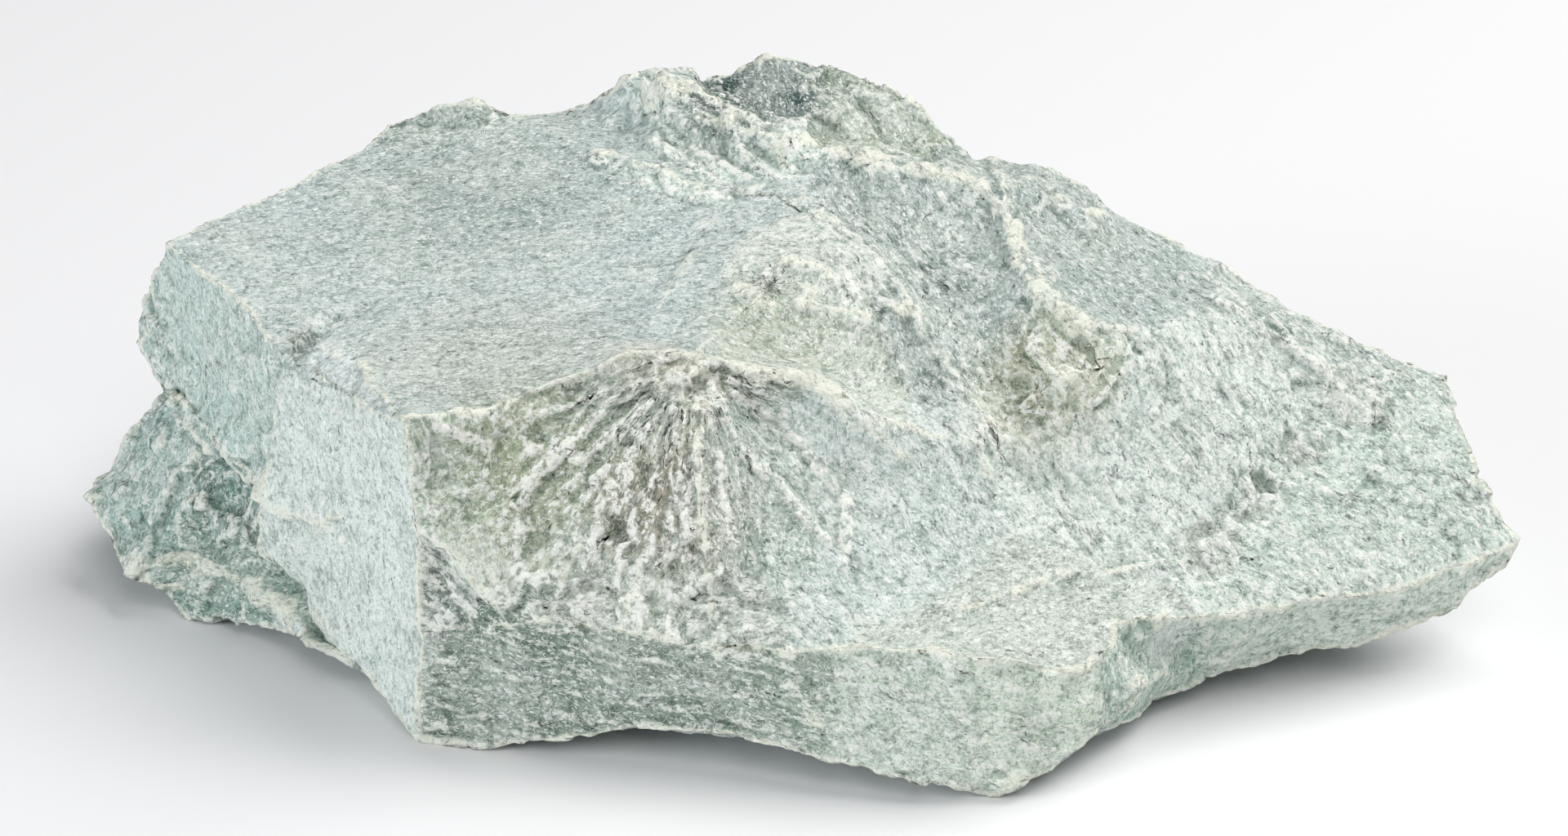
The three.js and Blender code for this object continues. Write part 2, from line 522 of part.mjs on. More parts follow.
for (const face of faces) {
  const outline = outlineOf(face);
  const plane = planeOf(outline);
  const flat = outline.map((index) => {
    const offset = points[index].clone().sub(plane.middle);
    return new THREE.Vector2(offset.dot(plane.across), offset.dot(plane.along));
  });
  const spots = facetCorners(flat);
  const indices = [...outline];
  for (const spot of spots) {
    const place = plane.middle.clone();
    place.addScaledVector(plane.across, spot.x);
    place.addScaledVector(plane.along, spot.y);
    indices.push(addPoint(place));
  }
  const spread = [...flat, ...spots];
  const facets = THREE.ShapeUtils.triangulateShape(flat, []);
  for (const facet of facets) {
    if (turn(spread[facet[0]], spread[facet[1]], spread[facet[2]]) < 0) {
      facet.reverse();
    }
  }
  for (let index = flat.length; index < spread.length; index += 1) {
    splitAround(spread, facets, index);
  }
  evenOut(spread, facets);
  for (const facet of facets) {
    triangles.push(facet.map((corner) => indices[corner]));
  }
  for (const index of indices) {
    facesAt[index] = facesAt[index] || [];
    facesAt[index].push(face);
  }
}

// Each face is drawn tight between its ridges, and a dome over it gives the shape of its hollow or crown
const neighbours = points.map(() => new Set());
for (const [a, b, c] of triangles) {
  neighbours[a].add(b).add(c);
  neighbours[b].add(a).add(c);
  neighbours[c].add(a).add(b);
}

const dome = points.map(() => 0);
const TIGHTENING_ROUNDS = 300;
for (let round = 0; round < TIGHTENING_ROUNDS; round += 1) {
  for (let i = ridgePointCount; i < points.length; i += 1) {
    const mean = new THREE.Vector3();
    let height = 0;
    for (const other of neighbours[i]) {
      mean.add(points[other]);
      height += dome[other];
    }
    points[i].copy(mean.divideScalar(neighbours[i].size));
    dome[i] = height / neighbours[i].size + 1;
  }
}
const domeTop = new Map();
for (let i = ridgePointCount; i < points.length; i += 1) {
  const face = facesAt[i][0];
  domeTop.set(face, Math.max(domeTop.get(face) || 0, dome[i]));
}

// Outward direction at every point
const outward = points.map(() => new THREE.Vector3());
for (const [a, b, c] of triangles) {
  const side = points[b].clone().sub(points[a]);
  const slant = side.cross(points[c].clone().sub(points[a]));
  outward[a].add(slant);
  outward[b].add(slant);
  outward[c].add(slant);
}

function lumps(place) {
  const broad = noise.noise(place.x / LUMP_SIZE, place.y / LUMP_SIZE, place.z / LUMP_SIZE);
  const sharp = 0.5 - Math.abs(noise.noise(place.x / CHIP_SIZE, place.y / CHIP_SIZE, place.z / CHIP_SIZE));
  return broad + CHIP_SHARE * sharp;
}

function reliefAt(index) {
  const owners = facesAt[index];
  if (owners.some((face) => face.rests)) {
    return 0;
  }
  const rough = Math.min(...owners.map((face) => face.rough));
  let relief = rough * lumps(points[index]);
  if (index >= ridgePointCount) {
    const [face] = owners;
    relief -= face.hollow * dome[index] / domeTop.get(face);
  }
  return relief;
}

const relief = points.map((place, index) => reliefAt(index));
points.forEach((place, index) => place.addScaledVector(outward[index].normalize(), relief[index]));

// The origin goes to the middle of the footprint, on the surface the stone rests on
const box = new THREE.Box3().setFromPoints(points);
const middle = box.getCenter(new THREE.Vector3());
const scale = STONE_LENGTH / (box.max.x - box.min.x);
const places = new Float32Array(points.length * 3);
points.forEach((place, index) => {
  place.sub(new THREE.Vector3(middle.x, middle.y, box.min.z)).multiplyScalar(scale);
  place.toArray(places, index * 3);
});

const geometry = new THREE.BufferGeometry();
geometry.setAttribute('position', new THREE.BufferAttribute(places, 3));
geometry.setIndex(triangles.flat());
geometry.computeVertexNormals();

const stone = new THREE.Mesh(
  geometry,
  new THREE.MeshStandardMaterial({ color: STONE_COLOUR, roughness: 0.85, metalness: 0 }),
);
stone.name = 'stone';

const group = new THREE.Group();
group.add(stone);

export default group;
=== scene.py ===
"""A raw hand specimen of clinoptilolite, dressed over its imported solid."""

import json
import math

import bpy
import numpy as np
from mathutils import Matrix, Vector, noise

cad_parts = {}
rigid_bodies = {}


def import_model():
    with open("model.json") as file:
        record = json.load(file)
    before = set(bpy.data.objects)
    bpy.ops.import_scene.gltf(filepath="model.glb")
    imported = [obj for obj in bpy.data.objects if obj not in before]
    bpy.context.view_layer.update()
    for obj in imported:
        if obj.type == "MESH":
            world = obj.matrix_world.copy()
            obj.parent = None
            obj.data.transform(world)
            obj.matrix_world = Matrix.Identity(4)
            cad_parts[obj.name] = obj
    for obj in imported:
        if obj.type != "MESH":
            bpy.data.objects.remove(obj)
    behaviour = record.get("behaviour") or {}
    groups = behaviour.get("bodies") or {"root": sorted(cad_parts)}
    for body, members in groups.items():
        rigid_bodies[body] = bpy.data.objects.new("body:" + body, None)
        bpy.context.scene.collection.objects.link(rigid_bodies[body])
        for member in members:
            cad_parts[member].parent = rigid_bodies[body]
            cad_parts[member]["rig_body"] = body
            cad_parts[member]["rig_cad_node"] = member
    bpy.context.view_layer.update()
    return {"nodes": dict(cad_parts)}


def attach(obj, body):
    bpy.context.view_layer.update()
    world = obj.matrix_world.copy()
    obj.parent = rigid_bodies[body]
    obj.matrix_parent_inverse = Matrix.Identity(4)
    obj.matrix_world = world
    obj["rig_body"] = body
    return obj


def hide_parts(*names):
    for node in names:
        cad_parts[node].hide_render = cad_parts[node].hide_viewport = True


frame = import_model()

# The broken stone
# One lump of compact zeolite rock, split from its bed by hammer blows, so every face is a fresh break.
# Its facets are copied from the solid and split finer, and the ridges between the breaks stay sharp.
MM = 0.001
MERGE_GAP = 0.005 * MM
RIDGE_ANGLE = 16
FINE_CUTS = 7
ROUNDING_SHARE = 0.5
FACET_SMOOTHING = 20
BASE_FACING = -0.999
BASE_LEVEL = 0.01 * MM

bpy.ops.object.select_all(action="DESELECT")
solid = frame["nodes"]["stone"]
solid.select_set(True)
bpy.context.view_layer.objects.active = solid
bpy.ops.object.duplicate()
stone = bpy.context.view_layer.objects.active
stone.name = "broken_stone"
stone.data.name = "broken_stone"
bpy.ops.object.parent_clear(type="CLEAR_KEEP_TRANSFORM")
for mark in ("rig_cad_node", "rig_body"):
    del stone[mark]
stone.data.materials.clear()

bpy.ops.object.mode_set(mode="EDIT")
bpy.ops.mesh.select_mode(type="FACE")
bpy.ops.mesh.select_all(action="SELECT")
bpy.ops.mesh.remove_doubles(threshold=MERGE_GAP)
bpy.ops.mesh.customdata_custom_splitnormals_clear()
bpy.ops.mesh.select_all(action="DESELECT")
bpy.ops.mesh.select_mode(type="EDGE")
bpy.ops.mesh.edges_select_sharp(sharpness=math.radians(RIDGE_ANGLE))
stone.vertex_groups.new(name="ridges")
bpy.ops.object.vertex_group_assign()
bpy.ops.mesh.select_all(action="DESELECT")
bpy.ops.mesh.select_mode(type="FACE")
bpy.ops.object.mode_set(mode="OBJECT")
for facet in stone.data.polygons:
    facet.select = facet.normal.z > BASE_FACING or facet.center.z > BASE_LEVEL
bpy.ops.object.mode_set(mode="EDIT")
bpy.ops.mesh.subdivide(number_cuts=FINE_CUTS)
bpy.ops.mesh.select_all(action="SELECT")
bpy.ops.mesh.quads_convert_to_tris()
bpy.ops.object.mode_set(mode="OBJECT")

rounding = stone.modifiers.new("rounding", "SMOOTH")
rounding.factor = ROUNDING_SHARE
rounding.iterations = FACET_SMOOTHING
rounding.vertex_group = "ridges"
rounding.invert_vertex_group = True
bpy.ops.object.modifier_apply(modifier="rounding")

# Crests, lips and cracks
# Where two blows met, the rock kept a sharp crest. Where a slab came away, it left a lip or a crack.
# Each one is folded into the surface along a path in millimetres, and wanders a little.


def read_vectors(items, key):
    """One row of three numbers for each item."""
    flat = np.empty(len(items) * 3)
    items.foreach_get(key, flat)
    return flat.reshape(-1, 3)


FOLD_SHAKE = 0.7
FOLD_SHAKE_SIZE = 1.8
BASE_GAP = 0.02
mesh = stone.data
point_count = len(mesh.vertices)
places = read_vectors(mesh.vertices, "co") / MM
outward = read_vectors(mesh.vertices, "normal")
resting = places[:, 2] < BASE_GAP


def fold(path, left_reach, right_reach, height):
    """Raises a crest along a path, each side sloping away over its own reach. Below zero it is a crack."""
    corners = np.array(path, float)
    gap = np.full(point_count, np.inf)
    reach = np.full(point_count, float(left_reach))
    for start, end in zip(corners, corners[1:]):
        run = end - start
        share = np.clip((places - start) @ run / (run @ run), 0, 1)
        arm = places - start - share[:, None] * run
        distance = np.linalg.norm(arm, axis=1)
        closer = distance < gap
        gap = np.where(closer, distance, gap)
        on_left = np.einsum("ij,ij->i", np.cross(run, arm), outward) > 0
        reach = np.where(closer, np.where(on_left, left_reach, right_reach), reach)
    for point in np.flatnonzero((gap < reach + FOLD_SHAKE) & ~resting):
        shake = FOLD_SHAKE * noise.noise(Vector(places[point]) / FOLD_SHAKE_SIZE)
        slope = max(0.0, 1 - abs(gap[point] + shake) / reach[point])
        places[point] += outward[point] * height * slope


FOLDS = {
    "crest": {
        "path": [
            (-1.4, 6.5, 33.3), (4, 2, 32.5),
            (7.9, -4.4, 30.5), (11.2, -8.5, 26.9), (16.1, -13.9, 20.7),
        ],
        "left_reach": 4,
        "right_reach": 4,
        "height": 1.1,
    },
    "top edge": {
        "path": [
            (-11, 22.5, 37.7), (-7, 17.6, 36.6), (-1, 12, 36.4),
            (9, 8.8, 36), (18, 5.7, 34.4), (24.8, 6.1, 32.4),
        ],
        "left_reach": 3,
        "right_reach": 3,
        "height": 0.9,
    },
    "feather edge": {
        "path": [(-15.7, 16.6, 33.9), (-8.6, 9.7, 33.6), (-0.4, 5.2, 33.2)],
        "left_reach": 2.5,
        "right_reach": 2,
        "height": 0.6,
    },
    "plate edge": {
        "path": [(17, 5.7, 34.6), (17.9, -0.3, 32.8), (20.2, -5.4, 31.2), (22.9, -9.2, 29.2)],
        "left_reach": 7,
        "right_reach": 1.4,
        "height": 0.7,
    },
    "scoop edge": {
        "path": [(-6.4, -18.3, 29.1), (-1.7, -17.4, 28.8), (2.5, -17.2, 27.1), (8.4, -18.6, 22.2)],
        "left_reach": 2,
        "right_reach": 1.2,
        "height": 0.4,
    },
    "bulge lip": {
        "path": [(-7, 3.9, 32.6), (-9.5, -4, 31.5), (-11.3, -11.1, 30.2)],
        "left_reach": 2.5,
        "right_reach": 2,
        "height": 0.5,
    },
    "shell ring": {
        "path": [
            (-4.4, -7.5, 32), (-2, -8.9, 31.1),
            (1.2, -8.5, 31.1), (2.6, -5, 32.2), (-0.7, -3.8, 32.8),
        ],
        "left_reach": 1.2,
        "right_reach": 1.2,
        "height": 0.4,
    },
    "far wall lip": {
        "path": [
            (-53, 7.5, 15.5), (-50.3, 4, 15.6),
            (-47.9, 0.2, 14.7), (-44.2, -4.7, 13.7), (-43.1, -8.7, 13.1),
        ],
        "left_reach": 4,
        "right_reach": 0.8,
        "height": 0.9,
    },
    "hollow": {
        "path": [(-50.3, 3, 13.6), (-47.5, 0, 12.4), (-44.5, -4.5, 11.5)],
        "left_reach": 1.2,
        "right_reach": 4,
        "height": -1.2,
    },
    "block rim": {
        "path": [(-50.3, 2.9, 14.6), (-49.9, 0.6, 10.7), (-50.2, -0.7, 7.5)],
        "left_reach": 2,
        "right_reach": 2,
        "height": 0.8,
    },
    "under block line": {
        "path": [(-55.8, -2.6, 4.5), (-51.5, -2.4, 5.2), (-43.5, -8.1, 4.8), (-36.4, -17, 4.1)],
        "left_reach": 2.5,
        "right_reach": 2.5,
        "height": 0.5,
    },
    "chamfer": {
        "path": [(-40.5, -11, 27.3), (-36.5, -17.5, 28.2)],
        "left_reach": 3,
        "right_reach": 3,
        "height": -1.0,
    },
    "ledge edge": {
        "path": [(14.7, -27, 12.9), (21.5, -21.7, 13.1), (31.5, -18.5, 12.7)],
        "left_reach": 3,
        "right_reach": 0.8,
        "height": 0.45,
    },
    "recess": {
        "path": [(27.5, -26, 8.5), (31.5, -21.8, 6.5)],
        "left_reach": 2.5,
        "right_reach": 2.5,
        "height": -1.0,
    },
    "front seam": {
        "path": [(-5.9, -31.5, 11.3), (-0.7, -32.4, 10.7), (1.8, -33.4, 6.5)],
        "left_reach": 1.5,
        "right_reach": 1.5,
        "height": 0.4,
    },
    "slab crack": {
        "path": [(-43.1, -8.7, 13), (-38.2, -14.3, 13.9), (-37.4, -15.3, 14.7)],
        "left_reach": 3,
        "right_reach": 0.4,
        "height": 0.5,
    },
}
for shape in FOLDS.values():
    fold(**shape)
mesh.vertices.foreach_set("co", (places * MM).ravel())
mesh.update()

# The breaks and their grain
# Each break has a grain that the blow left in it: ribs that spread from the blow, streaks down a slope,
# shells round a bulge, or hackly chips. A map lays the grain along each break.


def broken(middle, facing, reach, grain, tone, ribs=0.0, streaks=0.0, hackle=0.0):
    """One break: its middle and reach in millimetres, its grain, its tone, and the depth of its relief."""
    return {
        "middle": np.array(middle, float),
        "facing": np.array(facing, float) / np.linalg.norm(facing),
        "reach": reach,
        "grain": grain,
        "tone": tone,
        "ribs": ribs,
        "streaks": streaks,
        "hackle": hackle,
    }


FAN_APEX = (-8.2, -17.5, 30.8)
SHELL_MIDDLE = (-2.0, -7.0, 32.0)
DOWN_SLOPE = (0.60, -0.42, -0.66)
DOWN_VALLEY = (0.47, -0.80, -0.38)
DOWN = (0.10, -0.15, -1.0)
SIDEWAYS = (1.0, -0.10, 0.10)
LEFT_TO_TIP = (0.95, 0.31, 0.04)
breaks = {
    "bedding": broken((-26, 3, 30.5), (-0.1, -0.1, 0.99), 34, SIDEWAYS, (198, 211, 210), streaks=0.25),
    "brow": broken(
        (-31, 25, 34), (-0.1, -0.4, 0.9), 8, SIDEWAYS, (184, 197, 190), streaks=0.5, hackle=0.1
    ),
    "slab top": broken((-37, -13, 28), (-0.4, -0.25, 0.88), 5, SIDEWAYS, (238, 246, 246), streaks=0.3),
    # The slab wall's tone is partly its own pale colour and partly painted light: it is raised to stand for
    # the bright light falling on this side.
    "slab wall": broken((-36, -17, 14), (-0.79, -0.61, 0), 17, DOWN, (235, 245, 240), streaks=0.3),
    "far wall": broken(
        (-48, 1, 22), (-0.8, -0.6, 0.05), 13, DOWN, (198, 218, 212), streaks=0.1, hackle=0.3
    ),
    "lump": broken((-55.5, 11, 20), (-0.6, -0.75, 0.2), 7, DOWN, (180, 206, 199), hackle=0.6),
    "low block": broken((-56, 2, 9), (-0.55, -0.57, 0.61), 8, DOWN, (175, 203, 197), hackle=0.6),
    "hollow": broken((-47, -2, 10), (-0.7, -0.6, 0.35), 8, DOWN, (147, 174, 166), hackle=1.0),
    "under block": broken(
        (-48, -4.5, 2.7), (-0.55, -0.75, 0.3), 9, SIDEWAYS, (153, 179, 168), hackle=0.45
    ),
    "fan": broken(
        (-13, -24.5, 21), (0, -0.85, 0.53), 15, "fan", (204, 209, 193), ribs=0.9, streaks=0.9, hackle=0.3
    ),
    "fan side": broken(
        (-27, -24.5, 24), (0.2, -0.95, 0.2), 7, "fan", (200, 212, 189), ribs=0.5, streaks=0.7, hackle=0.25
    ),
    "smooth fan": broken(
        (-1.5, -24, 20), (0.37, -0.7, 0.62), 9, "fan", (192, 207, 198), ribs=0.45, streaks=0.4
    ),
    "notch": broken(
        (-27.6, -25.3, 14), (-0.05, -1, 0.05), 4.5, (0.75, -0.16, -0.65), (88, 108, 102), streaks=1.0
    ),
    "front": broken(
        (-12, -29, 7), (-0.22, -0.97, 0), 20, (0.97, -0.22, -0.10), (144, 160, 146), streaks=0.9
    ),
    "front bend": broken(
        (13, -34.5, 7), (0, -1, 0.1), 13, (0.91, 0.1, -0.36), (227, 241, 223), streaks=0.8
    ),
    "ledge": broken(
        (19, -26, 12), (0.15, -0.3, 0.94), 12, (0.86, 0.5, 0.0), (210, 218, 208), streaks=0.3
    ),
    "slope": broken((8, -22, 18.5), (0.14, -0.7, 0.7), 14, DOWN_SLOPE, (212, 224, 220), streaks=0.6),
    "scoop": broken((1, -13, 28.5), (0.25, -0.25, 0.93), 9, "shell", (212, 219, 206), streaks=0.15),
    "bulge": broken(
        (0, -4, 32.5), (0.05, -0.15, 0.98), 9, "shell", (226, 232, 223), streaks=0.6, hackle=0.15
    ),
    "valley": broken((11, 0, 31), (0.02, -0.47, 0.88), 13, DOWN_VALLEY, (182, 194, 190), streaks=0.9),
    "ribbed": broken(
        (-8, 14, 35), (-0.19, -0.4, 0.9), 11, (0.44, -0.89, -0.1), (236, 248, 240), ribs=1.0, streaks=0.9
    ),
    "plate": broken(
        (25, 1, 30.7), (0.25, -0.18, 0.95), 10, DOWN_SLOPE, (186, 200, 196), streaks=0.3, hackle=0.25
    ),
    "plate step": broken((23, -11.5, 27), (0.1, -0.8, 0.6), 6, DOWN_SLOPE, (216, 223, 205), hackle=0.9),
    "right slope": broken(
        (29, -11, 20), (0.35, -0.7, 0.6), 17, DOWN_SLOPE, (229, 240, 233), streaks=0.9
    ),
    "high slope": broken(
        (43, 2, 24), (0.4, -0.3, 0.85), 9, DOWN_SLOPE, (196, 208, 203), streaks=0.3, hackle=0.4
    ),
    "right end": broken(
        (46, -11, 14.5), (0.2, -0.6, 0.78), 15, (0.83, -0.25, -0.5), (206, 221, 211), streaks=0.6, hackle=0.2
    ),
    "band foot": broken(
        (33.6, -15.9, 13.5), (0.2, -0.6, 0.75), 4, DOWN_SLOPE, (214, 220, 212), hackle=0.6
    ),
    "low band": broken(
        (37.8, -12.4, 15.5), (0.2, -0.6, 0.75), 4, DOWN_SLOPE, (208, 215, 207), hackle=0.7
    ),
    "high band": broken(
        (42.1, -8.4, 17.3), (0.3, -0.65, 0.7), 4, DOWN_SLOPE, (208, 215, 207), hackle=0.7
    ),
    "band top": broken(
        (46.4, -4.4, 19.9), (0.3, -0.65, 0.7), 4, DOWN_SLOPE, (214, 220, 212), hackle=0.6
    ),
    "apex": broken((-9, -18.2, 30), (0, -0.65, 0.75), 7, SIDEWAYS, (216, 215, 202), hackle=0.9),
    "pale chip": broken((-24.7, -26.2, 17.2), (0.1, -0.9, 0.4), 2.6, DOWN, (226, 229, 210)),
    "left hem": broken((-16, -28, 14), (0, -0.8, 0.6), 5, SIDEWAYS, (212, 215, 205), hackle=0.7),
    "right hem": broken((-5, -29.2, 14), (0, -0.75, 0.66), 5, SIDEWAYS, (206, 212, 204), hackle=0.7),
    "recess": broken(
        (31, -22, 6), (0.7, -0.68, -0.2), 7, DOWN, (170, 198, 182), streaks=0.2, hackle=0.25
    ),
    "under end": broken(
        (44, -16.5, 6.5), (0.28, -0.9, -0.35), 13, LEFT_TO_TIP, (218, 233, 220), streaks=0.7
    ),
    "dark peak": broken(
        (-4, 18.5, 38.5), (-0.3, -0.5, 0.8), 7.5, DOWN_VALLEY, (92, 118, 115), hackle=0.15
    ),
    "olive peak": broken((7, 15, 38), (0.2, -0.5, 0.85), 7, DOWN_VALLEY, (184, 195, 178), hackle=0.5),
    "hump": broken((20, 9, 35), (0.1, -0.1, 0.99), 8, DOWN_VALLEY, (176, 189, 184), hackle=0.35),
    "far side": broken(
        (0, 32, 15), (0, 1, 0.1), 60, (0.1, 0.1, -1), (178, 194, 186), streaks=0.5, hackle=0.3
    ),
    "far left": broken(
        (-52, 18, 12), (-0.7, 0.7, 0.1), 20, (0.1, 0.1, -1), (174, 191, 184), streaks=0.5, hackle=0.3
    ),
    "far right": broken(
        (45, 10, 12), (0.7, 0.7, 0.1), 20, (0.1, 0.1, -1), (184, 198, 190), streaks=0.5, hackle=0.4
    ),
    "underside": broken(
        (0, -10, 2), (0, -0.3, -0.95), 60, SIDEWAYS, (168, 184, 176), streaks=0.3, hackle=0.4
    ),
}

HEIGHT_COST = 0.3
SPREAD_COST = 1.5
TURN_COST = 5.0
facet_middles = read_vectors(mesh.polygons, "center") / MM
facet_facings = read_vectors(mesh.polygons, "normal")
break_list = list(breaks.values())
costs = []
for one in break_list:
    offset = facet_middles - one["middle"]
    height = np.abs(offset @ one["facing"])
    spread = np.linalg.norm(offset, axis=1) / one["reach"]
    turned = 1 - facet_facings @ one["facing"]
    costs.append(height * HEIGHT_COST + spread**2 * SPREAD_COST + turned * TURN_COST)
break_at_facet = np.argmin(np.array(costs), axis=0)

GRAIN_MAP = "grain"
GRAIN_STRETCH = 0.22
FAN_RADIUS = 13.0
SHELL_RADIUS = 6.0
BREAK_SHIFT = 37.0
SWAY = 0.7
SWAY_SIZE = 5.0
corner_points = np.empty(len(mesh.loops), int)
mesh.loops.foreach_get("vertex_index", corner_points)
break_at_corner = np.repeat(break_at_facet, 3)
places = read_vectors(mesh.vertices, "co") / MM
sway = SWAY * np.array([noise.noise(Vector(place) / SWAY_SIZE) for place in places])
grain_places = np.zeros((len(corner_points), 2))
for index, one in enumerate(break_list):
    here = break_at_corner == index
    spots = places[corner_points[here]]
    if one["grain"] == "fan":
        arm = spots - np.array(FAN_APEX)
        turn = np.arctan2(arm[:, 0], np.hypot(arm[:, 1], arm[:, 2]))
        across = turn * FAN_RADIUS
        along = np.linalg.norm(arm, axis=1)
    elif one["grain"] == "shell":
        arm = spots - np.array(SHELL_MIDDLE)
        turn = np.abs(np.arctan2(arm[:, 0], -arm[:, 1]))
        across = np.hypot(arm[:, 0], arm[:, 1])
        along = turn * SHELL_RADIUS
    else:
        way = np.array(one["grain"], float)
        way -= one["facing"] * (way @ one["facing"])
        way /= np.linalg.norm(way)
        across = spots @ np.cross(one["facing"], way) + BREAK_SHIFT * index
        along = spots @ way
    grain_places[here, 0] = across + sway[corner_points[here]]
    grain_places[here, 1] = along * GRAIN_STRETCH
grain_map = mesh.uv_layers.new(name=GRAIN_MAP)
grain_map.data.foreach_set("uv", grain_places.ravel())

sides = np.empty(len(mesh.edges) * 2, int)
mesh.edges.foreach_get("vertices", sides)
side_from, side_to = sides.reshape(-1, 2).T
side_count = np.bincount(sides, minlength=point_count)


def level(values):
    """Each point's value, evened out with the points next to it."""
    total = np.bincount(side_from, values[side_to], point_count)
    total += np.bincount(side_to, values[side_from], point_count)
    return total / side_count


def add_crest(name, rounds):
    """Stores how far each point stands out from the points around it, in millimetres."""
    here = read_vectors(mesh.vertices, "co") / MM
    evened = here.copy()
    for _ in range(rounds):
        evened = np.column_stack([level(column) for column in evened.T])
    rise = np.einsum("ij,ij->i", here - evened, read_vectors(mesh.vertices, "normal"))
    mesh.attributes.new(name, "FLOAT", "POINT").data.foreach_set("value", rise)


WIDE_ROUNDS = 8
add_crest("wide crest", WIDE_ROUNDS)
WEIGHT_STEPS = 50


def add_group(name, weights):
    """A vertex group that holds each point's weight, in small steps."""
    group = stone.vertex_groups.new(name=name)
    steps = np.round(np.clip(weights, 0, 1) * WEIGHT_STEPS).astype(int)
    for step in range(1, WEIGHT_STEPS + 1):
        members = np.flatnonzero(steps == step)
        group.add(members.tolist(), step / WEIGHT_STEPS, "REPLACE")


SPREAD_ROUNDS = 8
APEX_CLEAR = 7.0
relief_depth = {}
for kind in ("ribs", "streaks", "hackle"):
    depth_at_facet = np.array([one[kind] for one in break_list])[break_at_facet]
    depth = np.zeros(point_count)
    np.maximum.at(depth, corner_points, np.repeat(depth_at_facet, 3))
    for _ in range(SPREAD_ROUNDS):
        depth = level(depth)
    if kind != "hackle":
        depth *= np.clip(np.linalg.norm(places - np.array(FAN_APEX), axis=1) / APEX_CLEAR, 0, 1)
    depth[resting] = 0
    relief_depth[kind] = depth
    add_group(kind, depth)


def carve(texture, group, depth, middle=0.5, on_grain=False):
    """Cuts a texture into the points of a group, along their outward direction."""
    cut = stone.modifiers.new(texture.name, "DISPLACE")
    cut.texture = texture
    cut.vertex_group = group
    cut.strength = depth
    cut.mid_level = middle
    if on_grain:
        cut.texture_coords = "UV"
        cut.uv_layer = GRAIN_MAP
    bpy.ops.object.modifier_apply(modifier=cut.name)


def clouds(name, size, octaves, kind="HARD_NOISE"):
    """A cloudy texture of lumps or creases."""
    texture = bpy.data.textures.new(name, "CLOUDS")
    texture.noise_scale = size
    texture.noise_depth = octaves
    texture.noise_type = kind
    return texture


# A displacement reads a map at half its size, so a size on the map is doubled.
MAP_DOUBLING = 2
SOFT = "SOFT_NOISE"
lumps = clouds("lumps", size=5.5 * MM, octaves=2, kind=SOFT)
ribs = clouds("ribs", size=2.4 * MAP_DOUBLING, octaves=2)
streaks = clouds("streaks", size=1.6 * MAP_DOUBLING, octaves=3, kind=SOFT)
fine_streaks = clouds("fine streaks", size=0.9 * MAP_DOUBLING, octaves=2)
edge_chips = clouds("edge chips", size=1.3 * MM, octaves=2, kind=SOFT)
carve(lumps, "hackle", depth=1.0 * MM)
carve(ribs, "ribs", depth=-1.1 * MM, on_grain=True)
carve(streaks, "streaks", depth=0.5 * MM, on_grain=True)
carve(fine_streaks, "streaks", depth=-0.25 * MM, on_grain=True)
carve(edge_chips, "ridges", depth=0.5 * MM, middle=0.65)

# Chips
# Under the blow the rock parted in small flat flakes, longer along the grain, each leaning its own way.
# In the notch beside the fan, the grain shows as white stripes.
grain_at_point = np.zeros((point_count, 2))
grain_at_point[corner_points] = grain_places
grain_at_point[:, 1] /= GRAIN_STRETCH
bruise = np.zeros(point_count)
places = read_vectors(mesh.vertices, "co") / MM
outward = read_vectors(mesh.vertices, "normal")
CELL_MIX = (127.1, 311.7)
SALT_MIX = 74.7
MIX_SCALE = 43758.5453


def random_at(cells, salt):
    """A number from 0 to 1 for each cell of a grid, always the same for the same cell."""
    mixed = np.sin(cells[:, 0] * CELL_MIX[0] + cells[:, 1] * CELL_MIX[1] + salt * SALT_MIX) * MIX_SCALE
    return mixed - np.floor(mixed)


CHIP_SHARPNESS = 0.6


def flake(kind, width, length, lean, step, salt):
    """Breaks the surface into flat chips of a width and length, each leaning and stepped its own way."""
    spots = grain_at_point / (width, length)
    home = np.floor(spots)
    nearest = np.full(point_count, np.inf)
    rise = np.zeros(point_count)
    for aside in (-1, 0, 1):
        for ahead in (-1, 0, 1):
            cells = home + (aside, ahead)
            arm = spots - cells - np.column_stack((random_at(cells, salt), random_at(cells, salt + 1)))
            gap = np.einsum("ij,ij->i", arm, arm)
            closer = gap < nearest
            nearest = np.where(closer, gap, nearest)
            tilt = arm[:, 0] * (random_at(cells, salt + 2) - 0.5)
            tilt += arm[:, 1] * (random_at(cells, salt + 3) - 0.5)
            chip_rise = tilt * width * lean + (random_at(cells, salt + 4) - 0.5) * step
            rise = np.where(closer, chip_rise, rise)
    rise = CHIP_SHARPNESS * rise + (1 - CHIP_SHARPNESS) * level(rise)
    places[:] += outward * (rise * relief_depth[kind])[:, None]


flake("hackle", width=3.4, length=4.4, lean=0.8, step=0.5, salt=11)
flake("hackle", width=1.5, length=2.1, lean=0.6, step=0.2, salt=23)
flake("streaks", width=1.2, length=4.0, lean=0.4, step=0.12, salt=37)
STRIPE_WIDTH = 1.3
STRIPE_SHARPNESS = 2.5
STRIPE_GAP = 1.2
notch_points = np.unique(corner_points[break_at_corner == list(breaks).index("notch")])
stripes = np.sin(2 * np.pi * grain_at_point[notch_points, 0] / STRIPE_WIDTH)
bruise[notch_points] = np.clip(stripes * STRIPE_SHARPNESS - STRIPE_GAP, 0, 1)
bruise = level(bruise)

# Scars
# Cracks and pits where the rock parted deeper, and thin raised seams of harder, white mineral.
# Each follows a path on its break, in millimetres, and comes and goes along it.
SCAR_JITTER = 0.8
SCAR_JITTER_SIZE = 0.9
SCAR_REACH = 3
SCAR_SHARE = 0.75
SCAR_BREAKS = 1.2
SHORTEST = 1e-9


